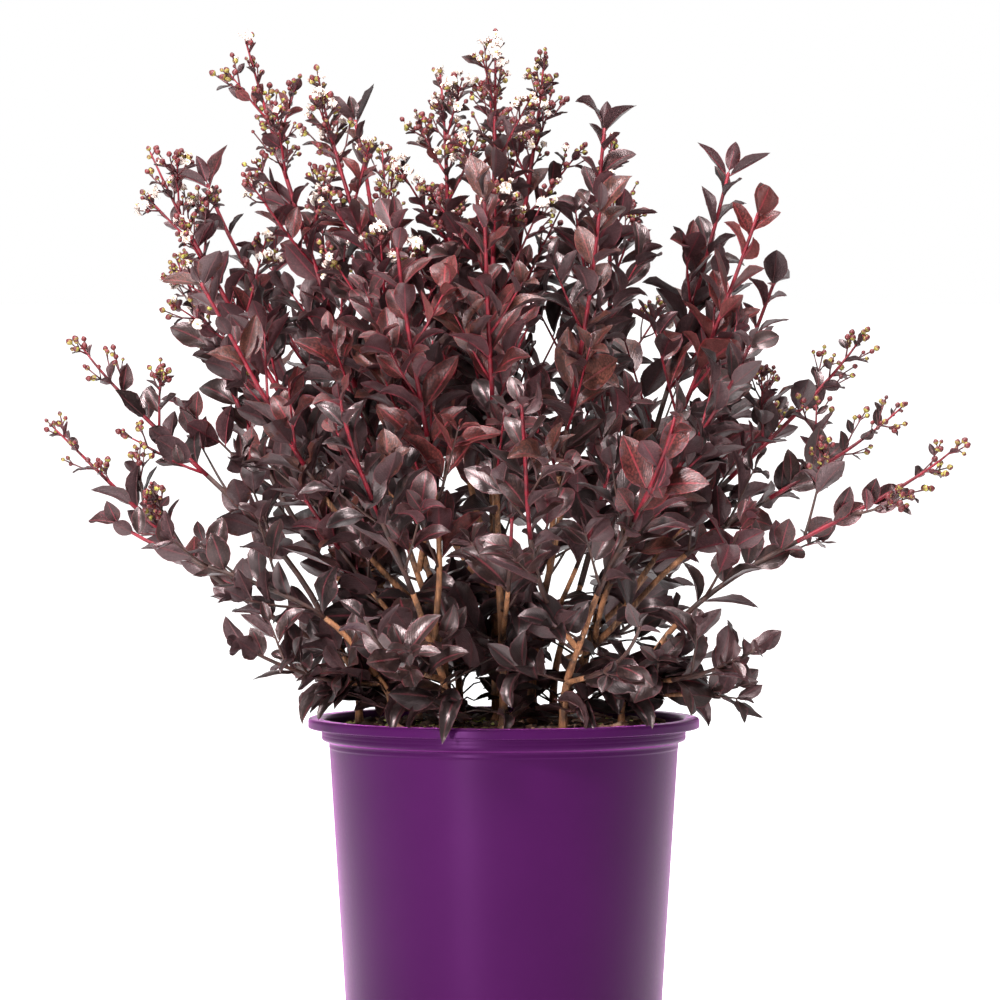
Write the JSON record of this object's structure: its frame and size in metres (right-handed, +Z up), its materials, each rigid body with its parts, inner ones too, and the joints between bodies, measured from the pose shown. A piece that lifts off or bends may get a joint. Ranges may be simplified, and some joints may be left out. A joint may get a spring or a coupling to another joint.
{
  "type": "potted shrub",
  "caption": "Multi-stemmed crape myrtle shrub with dark burgundy leaves and pink-red flower buds, in a round tapered purple nursery pot filled with potting mix.",
  "frame": {"origin": "centre of the pot's flat underside", "axes": "+Z up along the pot's axis, -Y towards the front of the plant"},
  "size_m": [0.6605, 0.5486, 0.7332],
  "materials": {
    "pot_plastic": "purple injection-moulded plastic, satin gloss",
    "potting_mix": "damp bark and peat potting mix",
    "bark": "tan peeling bark, crimson on young wood",
    "foliage": "dark burgundy leaves, crimson shoots, pink-red buds"
  },
  "bodies": {
    "root": {"foliage_back_inner_low": "foliage", "foliage_back_low_left": "foliage", "foliage_back_low_right": "foliage", "foliage_back_mid_left": "foliage", "foliage_back_mid_right": "foliage", "foliage_back_middle": "foliage", "foliage_back_upper_left": "foliage", "foliage_back_upper_right": "foliage", "foliage_front_low_centre": "foliage", "foliage_front_low_left": "foliage", "foliage_front_low_right": "foliage", "foliage_front_mid_left": "foliage", "foliage_front_mid_right": "foliage", "foliage_front_middle": "foliage", "foliage_front_upper": "foliage", "foliage_front_upper_left": "foliage", "foliage_front_upper_right": "foliage", "foliage_left_back_upper": "foliage", "foliage_left_high_spray": "foliage", "foliage_left_inner_low": "foliage", "foliage_left_low_spray": "foliage", "foliage_left_lowest": "foliage", "foliage_left_shoulder": "foliage", "foliage_left_shoulder_front": "foliage", "foliage_left_upper_spray": "foliage", "foliage_left_wide_spray": "foliage", "foliage_right_hem": "foliage", "foliage_right_high_spray": "foliage", "foliage_right_inner_low": "foliage", "foliage_right_low_spray": "foliage", "foliage_right_lowest": "foliage", "foliage_right_middle": "foliage", "foliage_right_shoulder": "foliage", "foliage_right_upper_front": "foliage", "foliage_right_upper_spray": "foliage", "foliage_right_wide_spray": "foliage", "foliage_top_centre": "foliage", "foliage_top_left_leafy": "foliage", "foliage_top_left_of_centre": "foliage", "foliage_top_left_second": "foliage", "foliage_top_left_tall": "foliage", "foliage_top_right_leafy": "foliage", "foliage_top_right_of_centre": "foliage", "pot": "pot_plastic", "potting_mix": "potting_mix", "stem_back_inner": "bark", "stem_back_left": "bark", "stem_back_right": "bark", "stem_centre": "bark", "stem_front_left": "bark", "stem_front_right": "bark", "stem_left_back": "bark", "stem_left_inner": "bark", "stem_left_low": "bark", "stem_left_outer": "bark", "stem_right_back": "bark", "stem_right_inner": "bark", "stem_right_low": "bark", "stem_right_outer": "bark"}
  },
  "joints": []
}
